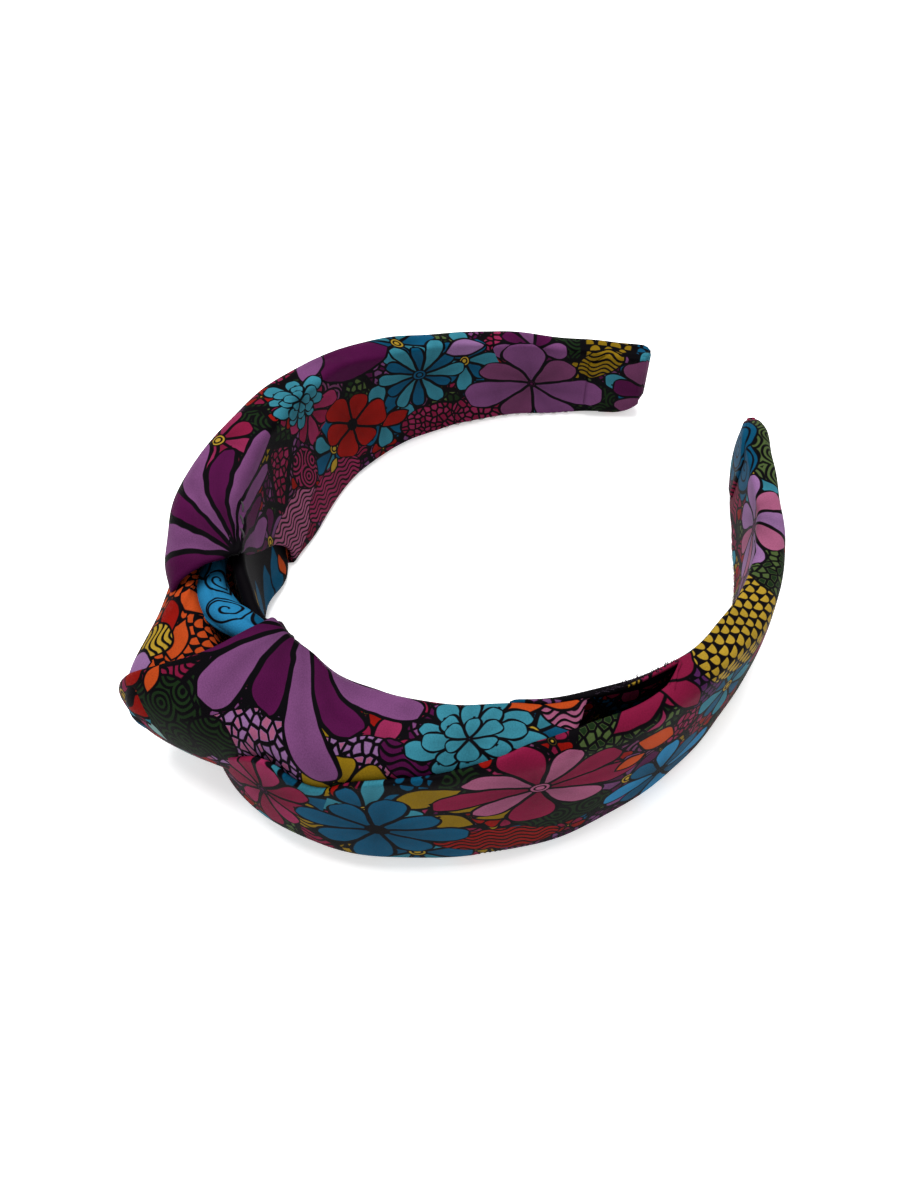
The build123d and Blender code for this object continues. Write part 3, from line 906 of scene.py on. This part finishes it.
class Print:
    """The colour of one piece of printed cloth, built up motif by motif."""

    def __init__(self, tree, seed):
        self.n = n = Nodes(tree)
        self.uv = self.place = n.add("ShaderNodeUVMap", uv_map="cloth").outputs[0]
        # hand-drawn lines: a slow wander and a fine wobble
        for scale, amount in ((0.05, 4.0), (0.26, 0.5)):
            off = n.vector("SUBTRACT", n.noise(self.uv, scale, 0.0).outputs["Color"], (0.5, 0.5, 0.5))
            self.place = n.vector("ADD", self.place, n.scaled(off, amount))
        moved = n.vector("ADD", self.place, (seed * 13.7, seed * 7.9, 0.0))
        self.filler = n.add("ShaderNodeGroup", {0: moved}, node_tree=FILLERS)
        self.colour = self.ground(seed)

    def lay(self, share, colour):
        """A colour over all that is drawn so far."""
        self.colour = self.n.mix(share, self.colour, colour)

    def two_inks(self, filler, first, second):
        """Black lines, and the fills of a filler in one or two inks."""
        n, value = self.n, self.filler.outputs[filler]
        shade = n.mix(n.math("SUBTRACT", value, 1.0, clamp=True), ink(first), ink(second))
        return n.mix(n.math("MINIMUM", value, 1.0), BLACK, shade)

    def ground(self, seed):
        """Patches of all the small drawings, in mixed inks, with black between them."""
        n = self.n
        spot = n.vector("ADD", self.place, (seed * 31.0, seed * 17.0, 0.0))
        size = 0.085
        patch = n.cells(spot, size)
        pick, chance = n.split(patch.outputs["Color"], "Color")
        colour = BLACK
        for start, filler, first, second in GROUND:
            layer = self.two_inks(filler, first, second)
            colour = n.mix(pick.use("GREATER_THAN", start), colour, layer) if start else layer
        gap = n.cells(spot, size, feature="DISTANCE_TO_EDGE").outputs["Distance"]
        colour = n.mix(n.below(gap, 0.085, 0.03), colour, BLACK)
        # small flowers in some patches, and large ones across them
        local = n.vector("SUBTRACT", spot, patch.outputs["Position"])
        small = self.stamp(local, 5.6, 6, "red", "crimson", "yellow", 0.0, 0.22, 3.0)
        mask = Value(n, small.outputs["Mask"]) * chance.use("GREATER_THAN", 0.66)
        colour = n.mix(mask, colour, small.outputs["Colour"])
        spread = n.cells(spot, 0.031, 0.7)
        local = n.vector("SUBTRACT", spot, spread.outputs["Position"])
        large = self.stamp(local, 13.5, 8, "orchid", "plum", "yellow", 0.3, 0.17, 2.2)
        chance = n.split(spread.outputs["Color"], "Color")[0]
        for key, names in LARGE_FLOWERS.items():
            ramp = n.add("ShaderNodeValToRGB", {0: chance})
            ramp.color_ramp.interpolation = "CONSTANT"
            while len(ramp.color_ramp.elements) < len(names):
                ramp.color_ramp.elements.new(0.5)
            for k, name in enumerate(names):
                ramp.color_ramp.elements[k].position = k / len(names)
                ramp.color_ramp.elements[k].color = ink(name)
            n.plug(large, {key: ramp.outputs[0]})
        return n.mix(large.outputs["Mask"], colour, large.outputs["Colour"])

    def stamp(self, local, radius, petals, petal, inner, heart, turn, hole, point):
        """A printed flower round local's origin; larger ones have thicker lines."""
        return self.n.add("ShaderNodeGroup", {
            "Place": local, "Radius": radius, "Petals": petals, "Turn": turn, "Hole": hole, "Point": point,
            "Line": min(0.95, 0.36 + 0.012 * radius),
            "Petal": ink(petal), "Inner": ink(inner), "Heart": ink(heart),
        }, node_tree=FLOWER)

    def local(self, x, y, lean=0.0, squeeze=1.0):
        """The cloth's place relative to a motif's centre, turned and squeezed across."""
        return self.n.add("ShaderNodeMapping", {
            "Vector": self.place, "Location": (x, y, 0.0),
            "Rotation": (0.0, 0.0, math.radians(lean)), "Scale": (1.0, squeeze, 1.0),
        }, vector_type="TEXTURE").outputs[0]

    def flower(self, x, y, squeeze, *look):
        made = self.stamp(self.local(x, y, 0.0, squeeze), *look)
        self.lay(made.outputs["Mask"], made.outputs["Colour"])

    def mum(self, x, y, squeeze, radius, petals):
        """A full flower of three rings of broad teal petals."""
        for share, fewer, turn in ((1.0, 0, 0.0), (0.72, 2, 0.4), (0.44, 4, 0.9)):
            ring = radius * share, petals - fewer, "teal", "teal", "blue", turn, 0.10, 2.2
            self.flower(x, y, squeeze, *ring)

    def spiral(self, x, y, radius, pitch, name):
        """A round patch of one ink with a black line that winds in to its middle."""
        n, local = self.n, self.local(x, y)
        across, up = n.split(local)
        away = n.length(local)
        winding = (away / pitch - n.math("ARCTAN2", up, across) / TURN + 4.0).use("FRACT")
        gap = abs(winding - 0.5) * pitch
        layer = n.mix(n.below(gap, 0.34), ink(name), BLACK)
        layer = n.mix(n.below(away, radius - BORDER), BLACK, layer)
        self.lay(n.below(away, radius), layer)

    def patch(self, x, y, across, up, filler, first, second, lean=0.0):
        """An oval patch of one filler, with a black border."""
        n = self.n
        away = n.length(self.local(x, y, lean, up / across))
        layer = n.mix(n.below(away, across - BORDER), BLACK, self.two_inks(filler, first, second))
        self.lay(n.below(away, across), layer)

    def petals(self, name, *leaves):
        """Single leaves or petals in one ink, outlined in black; a few dark ones are painted shade."""
        n = self.n
        for x, y, length, width, lean in leaves:
            along, across = n.split(self.local(x, y, lean))
            along = along / (length / 2)
            edge = (1.0 - along * along) * (width / 2) - abs(across)
            self.lay(n.below(-0.3, edge), n.mix(n.below(0.55, edge), BLACK, ink(name)))


def new_material(name):
    material = bpy.data.materials.new(name)
    material.use_nodes = True
    return material, material.node_tree, material.node_tree.nodes["Principled BSDF"]


def printed_cloth(name, seed, draw):
    """Smooth woven cotton with a printed face: fine weave, soft sheen, slight wear of the ink."""
    material, tree, shader = new_material(name)
    cloth = Print(tree, seed)
    n, uv = cloth.n, cloth.uv
    draw(cloth)
    fade, speckle = (Value(n, n.noise(uv, *grain).outputs[0]) for grain in ((0.09, 4.0), (2.6, 2.0)))
    wear = fade * 0.50 + speckle * 0.55 + 0.50
    tone = n.add("ShaderNodeHueSaturation", {"Color": cloth.colour, "Value": wear})
    n.plug(shader, {
        "Base Color": tone.outputs[0], "Roughness": speckle * 0.16 + 0.56, "Specular IOR Level": 0.02,
        "Sheen Weight": 0.004, "Sheen Roughness": 0.40,
    })
    yarn = {"Vector": uv, "Scale": 1.15, "Distortion": 0.6}
    warp, weft = (
        Value(n, n.add("ShaderNodeTexWave", yarn, bands_direction=way).outputs["Fac"]) for way in "XY"
    )
    n.bump(shader, warp + weft + speckle * 1.2, 0.22, 0.0001)
    return material


def plain(name, colour, roughness, grain, depth, specular=0.4):
    """A plain material with a fine grain in its colour, gloss and bump."""
    material, tree, shader = new_material(name)
    n = Nodes(tree)
    spot = n.add("ShaderNodeTexCoord").outputs["Object"]
    noise = Value(n, n.noise(spot, grain, 5.0, "3D").outputs[0])
    dark = tuple(c * 0.78 for c in colour)
    n.plug(shader, {
        "Base Color": n.mix(noise, dark + (1.0,), colour + (1.0,)),
        "Roughness": noise * 0.16 + (roughness - 0.08), "Specular IOR Level": specular,
    })
    n.bump(shader, noise, 0.35, depth)
    return material


# The large motifs on each piece. Each begins with its u and v, in mm along and round the cloth.
def draw_left(cloth):
    cloth.patch(84, -43, 20, 9, "Waves", "pink", "rose", 14)
    cloth.patch(112, -45, 18, 8, "Waves", "rose", "pink", 6)
    cloth.patch(102, -30, 7.5, 7.5, "Rings", "rose", "rose")
    cloth.petals("yellow", (117, -38, 6, 4, 30))
    cloth.patch(163, -35, 16, 8, "Pebbles", "crimson", "rose")
    cloth.patch(182, -31, 14, 7, "Pebbles", "rose", "crimson")
    cloth.petals("red", (146, -30, 12, 6, 20))
    cloth.petals("plum", (133, -3, 28, 15, 8))
    cloth.petals("orchid", (121, 2, 16, 9, 30))
    cloth.mum(107, -7, 0.9, 13, 9)
    cloth.flower(129, -27, 0.95, 14.5, 6, "red", "red", "black", 0.4, 0.16, 3.2)
    cloth.flower(155.5, -14, 0.9, 17, 12, "teal", "blue", "blue", 0.2, 0.16, 3.0)
    cloth.petals("lilac", (172, -5, 16, 7, 10))
    cloth.flower(196, -20, 0.72, 25, 7, "orchid", "mauve", "plum", 0.5, 0.08, 2.6)
    cloth.patch(219, -8, 8, 5, "Waves", "ochre", "ochre", 40)
    cloth.flower(240, -17, 0.75, 20, 7, "mauve", "plum", "plum", 0.1, 0.12, 2.6)
    cloth.flower(38, -9, 0.60, 52, 21, "orchid", "plum", "plum", 0.1, 0.05, 4.0)


def draw_wrap(cloth):
    cloth.patch(26, 22, 32, 10, "Pebbles", "lilac", "pink", -30)
    cloth.patch(-3, 34, 11, 11, "Rings", "green", "green")
    cloth.patch(9, 30, 7, 7, "Rings", "green", "green")
    cloth.petals("aqua", (-6, 44, 8, 4, 30), (1, 47, 7, 3.6, -30))
    cloth.petals("orange", (-12, 29, 9, 5, 60))
    cloth.petals("red", (-17, 33, 9, 6, 80))
    cloth.flower(42, 17, 0.8, 13, 7, "ochre", "ochre", "green", 0.2, 0.2, 3.4)
    cloth.patch(57, 9, 9, 4, "Waves", "plum", "mauve", 30)
    cloth.patch(98, -2, 11, 6, "Waves", "pink", "mauve", 10)
    cloth.petals("orange", (84, -5, 13, 6, -8), (93, -5, 12, 5, 12))
    cloth.mum(71, 1.5, 0.72, 18, 10)
    cloth.flower(3, -8, 0.60, 54, 17, "orchid", "plum", "plum", 0.10, 0.05, 4.0)


def draw_right(cloth):
    cloth.patch(74, 42, 16, 6, "Waves", "red", "crimson", 4)
    cloth.patch(90, 33, 12, 7, "Rings", "green", "moss")
    cloth.patch(28, 33, 8, 8, "Waves", "ochre", "yellow", 60)
    cloth.flower(18, 31, 1.0, 16, 9, "crimson", "rose", "plum", 0.3, 0.12, 3.0)
    cloth.patch(129, 5, 11, 8, "Scales", "violet", "violet")
    cloth.patch(103, 4, 12, 7, "Pebbles", "moss", "green", -10)
    cloth.petals(
        "ochre", (57, 18, 16, 8, -18), (66, 22, 16, 8, 14), (76, 28, 15, 7, -8), (63, 29, 14, 7, 30),
    )
    cloth.flower(47, 34, 0.8, 21, 8, "blue", "blue", "black", 0.2, 0.14, 1.9)
    cloth.flower(83, 19, 0.60, 26, 9, "crimson", "pink", "pink", 0.15, 0.12, 2.4)
    cloth.flower(118, 36, 0.8, 19, 8, "sky", "blue", "black", 0.35, 0.14, 1.9)
    cloth.petals("orange", (113, 15, 12, 8, 30), (106, 20, 9, 5, -20))
    cloth.petals(
        "crimson", (110, 3, 20, 7, -24), (121, 4, 17, 8, 60), (124, -3, 16, 7, -6), (162, 18, 26, 9, 10),
    )
    cloth.patch(152, 2, 24, 11, "Scales", "yellow", "ochre", 4)
    cloth.patch(174, 2, 9, 9, "Pebbles", "moss", "green")
    cloth.patch(226, 4, 15, 10, "Rings", "moss", "green")
    cloth.spiral(222, -9, 8, 3.4, "blue")
    cloth.spiral(233, -8, 9, 3.6, "blue")
    cloth.flower(194.5, -8, 0.85, 22, 9, "lilac", "pink", "plum", 0.2, 0.16, 3.0)
    cloth.petals("lilac", (181, -7, 13, 6, 10))
    # painted shade: a long black petal darkens the inner wall of the pocket, where the inside lies in shade
    cloth.petals("black", (108, -7, 46, 7, 0))


def draw_under(cloth):
    cloth.patch(27, -3, 26, 24, "Scales", "orange", "red", -30)
    cloth.petals("orange", (23, 1, 12, 7, -30))
    cloth.petals("red", (31, 4, 12, 6, 20))
    cloth.petals("orange", (33, -3, 14, 7, 60))
    cloth.patch(25.5, 7.0, 6, 4.5, "Waves", "yellow", "ochre", 50)
    # painted shade: the red and the black petal darken the strand where it runs out from under the wrap's
    # edge
    cloth.petals("red", (14.5, 17, 12, 6, 60))
    cloth.petals("black", (19.5, 18.5, 8, 6, 60))
    cloth.petals("lilac", (22.5, 13, 11, 7.5, 60))


def draw_return(cloth):
    cloth.colour = ink("sky")
    cloth.spiral(19, 1, 5.6, 2.8, "sky")
    cloth.spiral(31, -3, 4.6, 2.6, "sky")
    cloth.petals("blue", (10, -3, 13, 5, -14), (40, 3, 15, 5, 12))


def draw_sleeve(cloth):
    # painted shade: the black ground stands for the deep shade in the mouth and the pocket, where the sleeve
    # shows; the petals on it are print
    cloth.colour = ink("black")
    cloth.petals("blue", (36, -29, 24, 7, 75), (45, -36, 26, 9, 62), (54, -33, 22, 7, 58))
    cloth.petals("orange", (58, -34, 10, 5, 60), (65, -38, 11, 6, 60))
    cloth.petals("ochre", (33, -25, 20, 2.6, 80))


def coat(material, *coated):
    for piece in coated:
        piece.data.materials.clear()
        piece.data.materials.append(material)


coat(printed_cloth("left_leg_print", 1.0, draw_left), left, flap_left)
coat(printed_cloth("knot_wrap_print", 2.0, draw_wrap), wrap)
coat(printed_cloth("right_leg_print", 3.0, draw_right), right, flap_right)
coat(printed_cloth("under_strand_print", 4.0, draw_under), strand_a)
coat(printed_cloth("return_strand_print", 5.0, draw_return), strand_b)
coat(printed_cloth("sleeve_print_and_painted_shade", 6.0, draw_sleeve), sleeve_right, sleeve_left)
coat(plain("hoop_plastic", (0.012, 0.012, 0.013), 0.42, 900.0, 0.00003), hoop_right, hoop_left)
coat(plain("white_thread", (0.72, 0.70, 0.68), 0.72, 2600.0, 0.00006), seam_right, seam_left)
coat(plain("black_thread", (0.02, 0.018, 0.02), 0.72, 2600.0, 0.00006), seam_gather, seam_sleeve)
coat(plain("loose_yarn", (0.016, 0.010, 0.018), 0.8, 2600.0, 0.00004, 0.1), fray)

# --- each piece's transform baked into its mesh --------------------------------------------
for piece in (wrap, right, sleeve_right, hoop_right, flap_right, seam_right, fray):
    bend_right(piece)
for piece in (
    left, strand_a, strand_b, sleeve_left, hoop_left, flap_left, seam_left, seam_gather, seam_sleeve,
):
    bend_left(piece)

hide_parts("knot_wrap", "knot_wrap_tail")
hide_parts("right_leg_cover")
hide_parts("right_leg_cover")
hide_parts("left_leg_cover")
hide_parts("knot_under_strand")
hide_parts("knot_return_strand")
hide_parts("inner_sleeve")
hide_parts("inner_sleeve")
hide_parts("core_band")
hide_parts("core_band")
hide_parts("right_tip_tab")
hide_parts("left_tip_tab")
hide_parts("right_seam_stitches")
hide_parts("left_seam_stitches")
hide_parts("gather_stitches")
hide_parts("sleeve_seam_stitches")

# --- floor, light and camera -----------------------------------------------------------------
WHITE = (1.0, 1.0, 1.0, 1.0)
bpy.ops.mesh.primitive_plane_add(size=3.0, location=(0.0, 0.0, -0.0006))
floor = bpy.context.object
floor.name = "floor"
floor_material, floor_tree, floor_shader = new_material("pale_floor")
Nodes(floor_tree).plug(floor_shader, {
    "Base Color": (0.90, 0.90, 0.90, 1.0), "Roughness": 0.9, "Specular IOR Level": 0.1,
    "Emission Color": WHITE, "Emission Strength": 0.42,
})
coat(floor_material, floor)

world = bpy.data.worlds.new("studio")
bpy.context.scene.world = world
world.use_nodes = True
Nodes(world.node_tree).plug(world.node_tree.nodes["Background"], {"Color": WHITE, "Strength": 0.58})


def soft_light(name, location, size, power):
    """A round light that points at the knotted part's middle."""
    data = bpy.data.lights.new(name, "AREA")
    data.shape = "DISK"
    data.size = size
    data.energy = power
    light = bpy.data.objects.new(name, data)
    light.location = location
    direction = Vector((0.0, 0.0, 0.02)) - Vector(location)
    light.rotation_euler = direction.to_track_quat("-Z", "Y").to_euler()
    bpy.context.collection.objects.link(light)


soft_light("key", (-0.25, 0.08, 1.1), 0.8, 19.0)
soft_light("fill", (0.7, -0.7, 0.9), 1.2, 2.0)

bpy.context.scene.view_settings.view_transform = "Standard"
CAMERA_PLACE = Vector((0.12313, -0.11672, 0.25019))
CAMERA_TARGET = Vector((-0.00560, -0.00538, 0.00520))
CAMERA_ROLL = math.radians(-0.66)
camera_data = bpy.data.cameras.new("camera")
camera_data.lens = 31.75
camera_data.sensor_width = 36.0
camera_data.sensor_fit = "AUTO"
camera_data.clip_start = 0.01
camera = bpy.data.objects.new("camera", camera_data)
back = (CAMERA_PLACE - CAMERA_TARGET).normalized()
level_right = Vector((0, 0, 1)).cross(back).normalized()
axes = Matrix((level_right, back.cross(level_right), back)).transposed()
rolled = axes @ Matrix.Rotation(CAMERA_ROLL, 3, "Z")
camera.matrix_world = Matrix.Translation(CAMERA_PLACE) @ rolled.to_4x4()
bpy.context.collection.objects.link(camera)
bpy.context.scene.camera = camera
